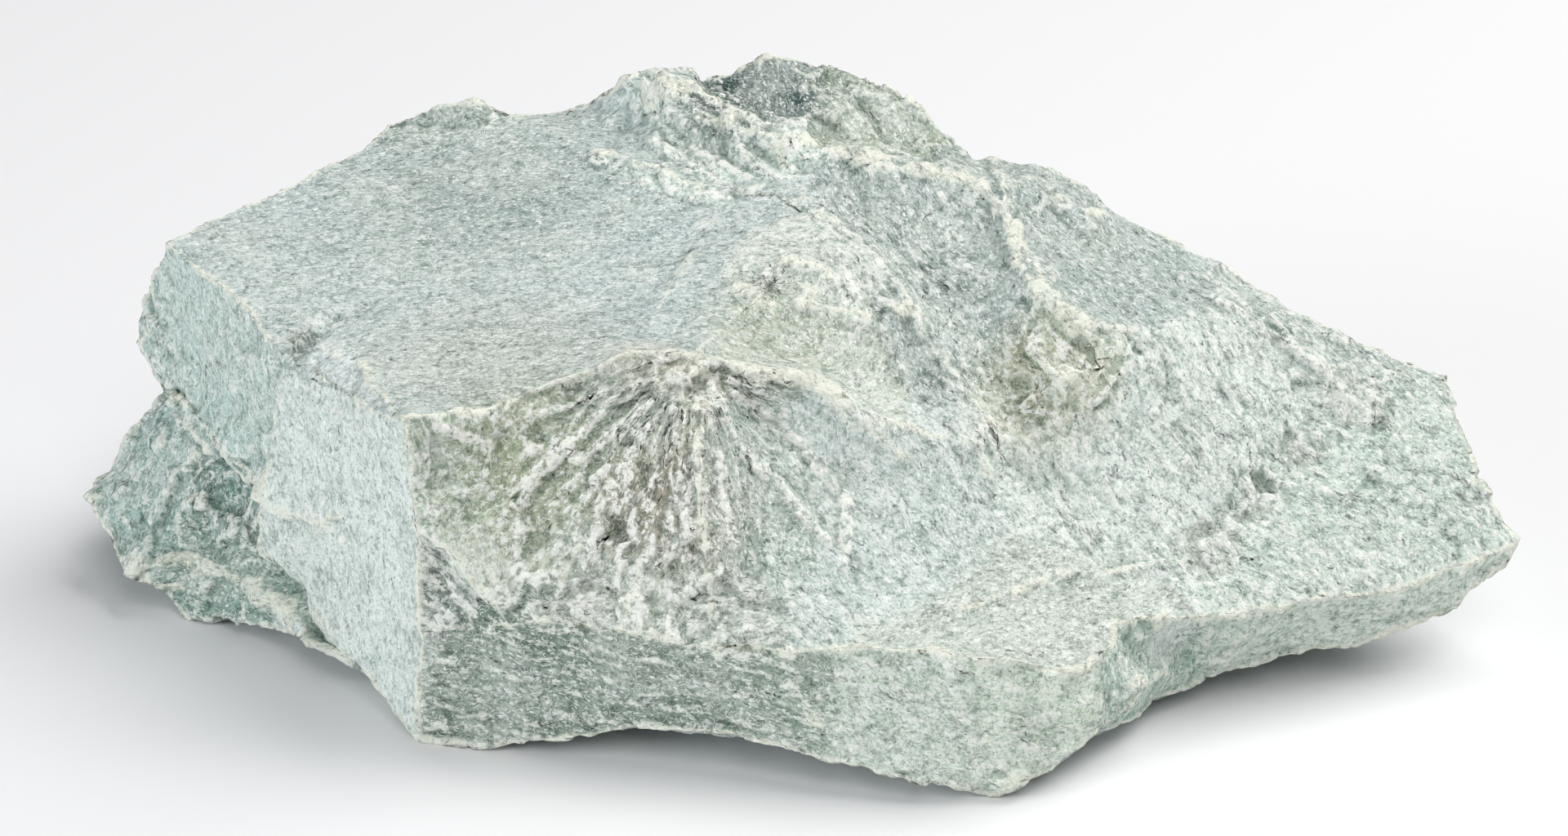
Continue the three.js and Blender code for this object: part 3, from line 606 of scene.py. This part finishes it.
def score(path, width, depth):
    """Cuts a groove along a path, or a pit at a single point; a depth below zero raises a seam."""
    corners = np.array(path, float)
    gap = np.full(point_count, np.inf)
    for start, end in zip(corners, corners[1:] if len(corners) > 1 else corners):
        run = end - start
        share = np.clip((places - start) @ run / max(run @ run, SHORTEST), 0, 1)
        gap = np.minimum(gap, np.linalg.norm(places - start - share[:, None] * run, axis=1))
    for point in np.flatnonzero(gap < SCAR_REACH * width):
        shake = noise.noise(Vector(places[point]) / SCAR_JITTER_SIZE)
        off_path = gap[point] / width * (1 + SCAR_JITTER * shake)
        kept = min(1, max(0, SCAR_SHARE + SCAR_BREAKS * shake))
        fall = math.exp(-(off_path**2)) * kept
        places[point] -= outward[point] * depth * fall
        if depth < 0:
            bruise[point] = max(bruise[point], fall)


SCARS = {
    "step crack": {
        "path": [(-42.2, -9.0, 25.0), (-41.2, -8.8, 27.5), (-39.2, -7.0, 28), (-37.2, -5.0, 28.5)],
        "width": 0.55,
        "depth": 1.9,
    },
    "step crack floor": {
        "path": [(-41.0, -9.6, 27.4), (-38.5, -7.6, 28)],
        "width": 0.9,
        "depth": 0.9,
    },
    "slab chips": {
        "path": [(-39.2, -13.2, 14.8), (-36.4, -16.4, 13.9)],
        "width": 0.6,
        "depth": -0.2,
    },
    "slab pit": {
        "path": [(-37.6, -15.0, 14.6)],
        "width": 0.5,
        "depth": 1.2,
    },
    "lump pit": {
        "path": [(-52.0, 6.3, 15.3)],
        "width": 1.1,
        "depth": 1.2,
    },
    "wall pit": {
        "path": [(-44.8, -3.7, 14.0)],
        "width": 0.9,
        "depth": 1.0,
    },
    "plate pit": {
        "path": [(19.2, -12.0, 25.6)],
        "width": 0.8,
        "depth": 1.2,
    },
    "middle plate pit": {
        "path": [(24.6, -11.1, 27.3)],
        "width": 0.8,
        "depth": 1.0,
    },
    "far plate pit": {
        "path": [(28.0, -9.2, 27.4)],
        "width": 0.7,
        "depth": 1.0,
    },
}
for shape in SCARS.values():
    score(**shape)
SEAM_WIDTH = 0.5
SEAM_HEIGHT = 0.5
SEAMS = {
    "white ridge": [(34.9, -0.2, 27.8), (39.7, -1.5, 25.2), (45.1, -3.4, 21.6)],
    "front seam": [(10.7, -33.3, 12.8), (12.9, -34.7, 11.1)],
    "right rib": [(-4.8, -18.3, 27.8), (0.6, -19.2, 23.5), (4.3, -21.4, 19.4), (3.9, -25.7, 15.7)],
    "inner right rib": [
        (-6.7, -18.7, 28.8), (-4.6, -21.2, 24.2),
        (-0.7, -22.2, 20.7), (2.9, -24.2, 17.1),
    ],
    "green rib": [(-6, -22.4, 24), (-5.6, -24.8, 21.1), (-4.8, -26.6, 18.4)],
    "brown rib": [(-8.8, -23.4, 23.5), (-8.6, -25.4, 21.1), (-7.8, -26.7, 19.6), (-10.5, -27.3, 17)],
    "middle rib": [(-12.4, -21, 26.3), (-13.2, -23.3, 23), (-12.6, -25.8, 19.3)],
    "inner left rib": [(-13.6, -23.1, 23.4), (-15.2, -24.8, 21), (-15.7, -26.3, 17.3)],
    "left rib": [(-18.5, -22.4, 25.3), (-21, -23.9, 21.8), (-22.1, -26.3, 16)],
    "corner rib": [(-27.9, -24.4, 27.7), (-24.1, -23.3, 25.5)],
    "upper streak": [(-4.5, 13.1, 35.3), (-0.7, 8.3, 34.7), (2, 4.3, 33.6)],
    "middle streak": [(-8.4, 15.3, 34.8), (-4.5, 10.9, 34.3), (-1.4, 7.1, 33.7)],
    "lower streak": [(-11.9, 17.9, 34.4), (-8.3, 13.3, 34.1), (-5.5, 9.1, 33.6)],
    "inner shell": [(-3.1, -8.3, 31.5), (-2.1, -5.5, 32.5), (0.1, -3.4, 32.8), (2.2, -4.6, 32.3)],
    "outer shell": [(3.9, -3.8, 32.1), (5.2, -7.4, 30.8), (4.9, -9.8, 28.9)],
}
for path in SEAMS.values():
    score(path, SEAM_WIDTH, -SEAM_HEIGHT)
APEX_CRACK = [(-8.5, -18.7, 29.7), (-6.4, -19.3, 27.9)]
score(APEX_CRACK, width=0.4, depth=0.7)

places[resting, 2] = 0
places[:, 2] = np.maximum(places[:, 2], 0)
mesh.vertices.foreach_set("co", (places * MM).ravel())
mesh.update()

# Colour of the stone
# Compact clinoptilolite is pale celadon green with a felt of short white needles. Fresh edges are chalky
# cream, and iron has left brown and yellow stains where water ran through the fan and under the plate.
FINE_ROUNDS = 3
add_crest("fine crest", FINE_ROUNDS)


def linear(red, green, blue):
    """Light that a colour on the screen's scale of 0 to 255 stands for."""
    shades = np.array((red, green, blue)) / 255
    dark = shades / 12.92
    light = ((shades + 0.055) / 1.055) ** 2.4
    return np.where(shades <= 0.04045, dark, light)


TONE_ROUNDS = 3
# Each stain, or the painted shade in the step crack: its middle and reach in millimetres, its colour, and
# its share of the colour.
STAIN_AND_SHADE_EDGE = 1.5
STAINS_AND_CRACK_SHADE = {
    "warm bedding front": ((-24, -15, 29), 9, (198, 202, 192), 0.6),
    "olive fan": ((-20, -23, 24), 6, (184, 190, 162), 0.8),
    "brown fan": ((-9.7, -25.3, 20.5), 5.5, (158, 150, 132), 0.9),
    "brown apex": ((-12, -17.5, 31), 3.0, (222, 214, 194), 0.5),
    "pale chip": ((-24.7, -26.2, 17.2), 2.2, (224, 227, 208), 0.9),
    "yellow scoop": ((-2, -11.5, 30), 5, (184, 192, 172), 0.8),
    "yellow plate step": ((20, -12.5, 26), 5, (208, 206, 176), 0.9),
    "pale front": ((2, -32.5, 7), 5, (205, 218, 203), 0.5),
    "dark bend": ((9, -34, 7), 4, (190, 204, 190), 0.5),
    "dark hollow": ((-3.5, 18.5, 38), 6.0, (62, 86, 82), 0.9),
    "dim bedding back": ((-26, 14, 32), 11, (160, 175, 171), 0.75),
    "dim plate": ((25, 1, 30.7), 6, (172, 186, 182), 0.5),
    # Painted shade, not a stain: darkens the step crack where shade falls inside it.
    "step crack": ((-39.8, -7.8, 27.6), 1.6, (120, 134, 124), 0.7),
    "pale recess": ((30.5, -22.6, 8), 2.6, (232, 240, 236), 0.95),
}
tones = np.array([linear(*one["tone"]) for one in break_list])[break_at_corner]
corner_count = np.bincount(corner_points, minlength=point_count)
tint_sums = np.column_stack([np.bincount(corner_points, column, point_count) for column in tones.T])
tint = tint_sums / corner_count[:, None]
for _ in range(TONE_ROUNDS):
    tint = np.column_stack([level(column) for column in tint.T])
for centre, reach, shade, share in STAINS_AND_CRACK_SHADE.values():
    gap = np.linalg.norm(places - np.array(centre), axis=1) / reach
    amount = share * np.clip(STAIN_AND_SHADE_EDGE - gap, 0, 1)[:, None]
    tint += amount * (linear(*shade) - tint)
COARSE_LEAST = 0.3
COARSE_SHARES = {"ribs": 0.5, "streaks": 0.5, "hackle": 0.6}
coarse = np.full(point_count, COARSE_LEAST)
for kind, share in COARSE_SHARES.items():
    coarse += share * relief_depth[kind]
coarse = np.clip(coarse, 0, 1)
mesh.attributes.new("coarse", "FLOAT", "POINT").data.foreach_set("value", coarse)
mesh.attributes.new("bruise", "FLOAT", "POINT").data.foreach_set("value", bruise)
tint_layer = mesh.color_attributes.new("tint", "FLOAT_COLOR", "POINT")
tint_layer.data.foreach_set("color", np.column_stack((tint, np.ones(point_count))).ravel())

MOST_TRIANGLES = 190000
thinning = stone.modifiers.new("thinning", "DECIMATE")
thinning.ratio = MOST_TRIANGLES / len(mesh.polygons)
bpy.ops.object.modifier_apply(modifier="thinning")
bpy.ops.object.select_all(action="DESELECT")
stone.select_set(True)
bpy.ops.object.shade_smooth()

material = bpy.data.materials.new("clinoptilolite")
material.use_nodes = True
tree = material.node_tree
surface = tree.nodes["Principled BSDF"]


def add(kind, **settings):
    """A new node with its settings."""
    item = tree.nodes.new(kind)
    for key, value in settings.items():
        setattr(item, key, value)
    return item


def join(output, target):
    """Links one node's output to another's input."""
    tree.links.new(output, target)


RIDGED = "RIDGED_MULTIFRACTAL"
RIDGE_OFFSET = 1.0
RIDGE_GAIN = 2.0


def noise_on(source, scale, detail, roughness, kind="FBM", flat=False, distortion=0.0):
    """Cloudy or ridged noise on a set of coordinates."""
    item = add("ShaderNodeTexNoise", noise_dimensions="2D" if flat else "3D", noise_type=kind)
    item.inputs["Scale"].default_value = scale
    item.inputs["Detail"].default_value = detail
    item.inputs["Roughness"].default_value = roughness
    item.inputs["Distortion"].default_value = distortion
    if kind == RIDGED:
        item.inputs["Offset"].default_value = RIDGE_OFFSET
        item.inputs["Gain"].default_value = RIDGE_GAIN
    join(source, item.inputs["Vector"])
    return item.outputs["Fac"]


def crumbs_on(source, scale):
    """Small grains side by side: how far a place is from its grain's middle, and each grain's own number."""
    item = add("ShaderNodeTexVoronoi", voronoi_dimensions="2D")
    item.inputs["Scale"].default_value = scale
    join(source, item.inputs["Vector"])
    parts = add("ShaderNodeSeparateColor")
    join(item.outputs["Color"], parts.inputs["Color"])
    return item.outputs["Distance"], parts.outputs["Red"]


def vectors(first, second, how):
    """Two vectors worked together."""
    item = add("ShaderNodeVectorMath", operation=how)
    join(first, item.inputs[0])
    if isinstance(second, bpy.types.NodeSocket):
        join(second, item.inputs[1])
    else:
        item.inputs[1].default_value = second
    return item.outputs["Value"] if how == "DOT_PRODUCT" else item.outputs["Vector"]


MIDDLE_GREY = (0.5, 0.5, 0.5)


def facets_on(source, scale):
    """Small flat chips side by side, each leaning its own way."""
    item = add("ShaderNodeTexVoronoi", voronoi_dimensions="2D")
    item.inputs["Scale"].default_value = scale
    join(source, item.inputs["Vector"])
    lean = vectors(item.outputs["Color"], MIDDLE_GREY, "SUBTRACT")
    arm = vectors(source, item.outputs["Position"], "SUBTRACT")
    return vectors(arm, lean, "DOT_PRODUCT")


def spread_of(value, low, high, bottom=0.0, top=1.0):
    """Stretches a value between two levels, held at both ends."""
    item = add("ShaderNodeMapRange")
    item.inputs["From Min"].default_value = low
    item.inputs["From Max"].default_value = high
    item.inputs["To Min"].default_value = bottom
    item.inputs["To Max"].default_value = top
    join(value, item.inputs["Value"])
    return item.outputs["Result"]


def blend(amount, under, over, how="MIX"):
    """Lays one colour over another by an amount."""
    item = add("ShaderNodeMix", data_type="RGBA", blend_type=how)
    join(amount, item.inputs["Factor"])
    join(under, item.inputs["A"])
    item.inputs["B"].default_value = (*linear(*over), 1)
    return item.outputs["Result"]


def product(first, second):
    """Two values multiplied."""
    item = add("ShaderNodeMath", operation="MULTIPLY")
    join(first, item.inputs[0])
    join(second, item.inputs[1])
    return item.outputs[0]


GRAIN_LENGTH = 2.4
lay = add("ShaderNodeMapping")
lay.inputs["Scale"].default_value = (1.0, GRAIN_LENGTH, 1.0)
join(add("ShaderNodeUVMap", uv_map=GRAIN_MAP).outputs["UV"], lay.inputs["Vector"])
along_grain = lay.outputs["Vector"]
body = add("ShaderNodeTexCoord").outputs["Object"]
painted = add("ShaderNodeAttribute", attribute_name="tint").outputs["Color"]
fine_crest = add("ShaderNodeAttribute", attribute_name="fine crest").outputs["Fac"]
wide_crest = add("ShaderNodeAttribute", attribute_name="wide crest").outputs["Fac"]
coarseness = add("ShaderNodeAttribute", attribute_name="coarse").outputs["Fac"]
bruised = add("ShaderNodeAttribute", attribute_name="bruise").outputs["Fac"]

NEEDLE_SCALE = 2.4
CRUMB_SCALE = 1.7
GRIT_SCALE = 3.6
PATCH_SCALE = 160
CLOT_SCALE = 480
FELT_SCALE = 1500
SPECKLE_SCALE = 4200
needles = noise_on(
    along_grain, NEEDLE_SCALE, detail=2.0, roughness=0.55, kind=RIDGED, flat=True, distortion=0.8
)
crumb_gap, crumb_luck = crumbs_on(along_grain, CRUMB_SCALE)
grit_gap, grit_luck = crumbs_on(along_grain, GRIT_SCALE)
felt = noise_on(body, FELT_SCALE, detail=3.0, roughness=0.65)
speckle = noise_on(body, SPECKLE_SCALE, detail=2.0, roughness=0.6)
patches = noise_on(body, PATCH_SCALE, detail=3.0, roughness=0.55)
clots = noise_on(body, CLOT_SCALE, detail=3.0, roughness=0.62)
white_crumbs = product(spread_of(crumb_luck, 0.78, 0.84), spread_of(crumb_gap, 0.42, 0.30))
white_grit = product(spread_of(grit_luck, 0.80, 0.84), spread_of(grit_gap, 0.45, 0.30))
dark_grit = product(spread_of(grit_luck, 0.12, 0.08), spread_of(grit_gap, 0.40, 0.28))
crumbly = spread_of(felt, 0.42, 0.54, bottom=0.1)

# The layers of colour, from the tone of each break up to its chalky crests and cream edges, with painted
# shade in the crevices.
PALE_PATCH = (222, 229, 222)
DULL_CLOT = (178, 190, 184)
FELT_SHADE = (165, 180, 172)
SPECKLE_SHADE = (155, 169, 162)
GRIT_SHADE = (140, 156, 148)
NEEDLE_WHITE = (246, 250, 246)
CRUMB_WHITE = (244, 248, 244)
GRIT_WHITE = (248, 250, 248)
CREVICE_PAINTED_SHADE = (165, 180, 170)
CREST_WHITE = (244, 246, 239)
BRUISE_WHITE = (243, 245, 238)
EDGE_CREAM = (238, 240, 226)
colour = blend(spread_of(patches, 0.40, 0.62, top=0.45), painted, PALE_PATCH)
colour = blend(spread_of(clots, 0.50, 0.62, top=0.35), colour, DULL_CLOT, "MULTIPLY")
colour = blend(spread_of(felt, 0.48, 0.38, top=0.6), colour, FELT_SHADE, "MULTIPLY")
colour = blend(spread_of(speckle, 0.47, 0.39, top=0.45), colour, SPECKLE_SHADE, "MULTIPLY")
colour = blend(spread_of(dark_grit, 0, 1, top=0.35), colour, GRIT_SHADE, "MULTIPLY")
colour = blend(spread_of(needles, 1.30, 1.55, top=0.75), colour, NEEDLE_WHITE)
colour = blend(product(spread_of(white_crumbs, 0, 1, top=0.6), coarseness), colour, CRUMB_WHITE)
colour = blend(spread_of(white_grit, 0, 1, top=0.6), colour, GRIT_WHITE)
# Painted shade: the crevices between the crumbs are darkened where shade would fall in them.
painted_crevice_shade_share = product(spread_of(fine_crest, -0.02, -0.07, top=0.5), coarseness)
colour = blend(painted_crevice_shade_share, colour, CREVICE_PAINTED_SHADE, "MULTIPLY")
crest_share = product(product(spread_of(fine_crest, 0.015, 0.05), crumbly), coarseness)
colour = blend(crest_share, colour, CREST_WHITE)
colour = blend(product(spread_of(bruised, 0.1, 0.4, top=0.95), crumbly), colour, BRUISE_WHITE)
edge_share = product(spread_of(wide_crest, 0.045, 0.11, top=0.9), spread_of(felt, 0.36, 0.50, bottom=0.3))
edge_share = product(edge_share, spread_of(clots, 0.36, 0.5, bottom=0.35))
colour = blend(edge_share, colour, EDGE_CREAM)
join(colour, surface.inputs["Base Color"])
DULLEST = 0.92
SLEEKEST = 0.7
GLOSS = 0.3
join(spread_of(felt, 0.3, 0.7, DULLEST, SLEEKEST), surface.inputs["Roughness"])
surface.inputs["Specular IOR Level"].default_value = GLOSS


def bump_of(height, depth, under=None):
    """Raises the surface by a height, on top of another bump."""
    item = add("ShaderNodeBump")
    item.inputs["Strength"].default_value = 1.0
    item.inputs["Distance"].default_value = depth
    join(height, item.inputs["Height"])
    if under is not None:
        join(under, item.inputs["Normal"])
    return item.outputs["Normal"]


SHAKE_SCALE = 1100
SHAKE_REACH = (0.9, 0.9, 0)
shake = add("ShaderNodeTexNoise")
shake.inputs["Scale"].default_value = SHAKE_SCALE
join(body, shake.inputs["Vector"])
shaken = vectors(vectors(shake.outputs["Color"], MIDDLE_GREY, "SUBTRACT"), SHAKE_REACH, "MULTIPLY")
rough_grain = vectors(along_grain, shaken, "ADD")
LARGE_FACETS = 0.7
MIDDLE_FACETS = 1.6
SMALL_FACETS = 3.4
relief = bump_of(product(facets_on(rough_grain, LARGE_FACETS), coarseness), 0.6 * MM)
relief = bump_of(product(facets_on(rough_grain, MIDDLE_FACETS), coarseness), 0.8 * MM, relief)
relief = bump_of(facets_on(rough_grain, SMALL_FACETS), 0.9 * MM, relief)
relief = bump_of(felt, 0.2 * MM, relief)
join(relief, surface.inputs["Normal"])
stone.data.materials.append(material)

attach(stone, "root")
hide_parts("stone")

# The table
# A wide sheet of matt white paper under the stone.
FLOOR_WIDTH = 3.0
PAPER_WHITE = (0.86, 0.865, 0.88, 1)
PAPER_ROUGHNESS = 0.9
bpy.ops.mesh.primitive_plane_add(size=FLOOR_WIDTH, location=(0, 0, 0))
floor = bpy.context.view_layer.objects.active
floor.name = "table"
paper = bpy.data.materials.new("white_paper")
paper.use_nodes = True
sheet = paper.node_tree.nodes["Principled BSDF"]
sheet.inputs["Base Color"].default_value = PAPER_WHITE
sheet.inputs["Roughness"].default_value = PAPER_ROUGHNESS
floor.data.materials.append(paper)

# Studio light
# A wide soft box above the right end, a softer panel above the front, a low bluish panel on the left,
# and a faint white room all round.
LAMP_AIM = Vector((0, 0, 0.02))
LAMPS = {
    "key": {"place": (0.42, 0.15, 0.76), "width": 0.7, "power": 7.7, "shade": (1.0, 0.99, 0.975)},
    "front panel": {"place": (0.15, -0.75, 0.85), "width": 0.6, "power": 4.1, "shade": (1.0, 0.99, 0.985)},
    "left panel": {"place": (-0.90, -0.45, 0.22), "width": 0.5, "power": 5.4, "shade": (0.93, 0.97, 1.0)},
}
for name, facts in LAMPS.items():
    bpy.ops.object.light_add(type="AREA", location=facts["place"])
    lamp = bpy.context.view_layer.objects.active
    lamp.name = name
    lamp.data.size = facts["width"]
    lamp.data.energy = facts["power"]
    lamp.data.color = facts["shade"]
    lamp.rotation_euler = (LAMP_AIM - Vector(facts["place"])).to_track_quat("-Z", "Y").to_euler()
ROOM_WHITE = (0.95, 0.965, 1.0, 1)
ROOM_STRENGTH = 0.08
world = bpy.data.worlds.new("white_room")
world.use_nodes = True
room = world.node_tree.nodes["Background"]
room.inputs["Color"].default_value = ROOM_WHITE
room.inputs["Strength"].default_value = ROOM_STRENGTH
bpy.context.scene.world = world
bpy.context.scene.view_settings.view_transform = "Standard"

# Camera
# It looks down a little at the ribbed front, from well back.
EYE = (-0.000744, -0.38797, 0.19785)
AIM = (-0.000744, 0.00002, 0.016925)
LENS = 117.7
SENSOR_WIDTH = 36
NEAREST = 0.01
bpy.ops.object.camera_add(location=EYE)
camera = bpy.context.view_layer.objects.active
camera.rotation_euler = (Vector(AIM) - Vector(EYE)).to_track_quat("-Z", "Y").to_euler()
camera.data.lens = LENS
camera.data.sensor_width = SENSOR_WIDTH
camera.data.clip_start = NEAREST
bpy.context.scene.camera = camera
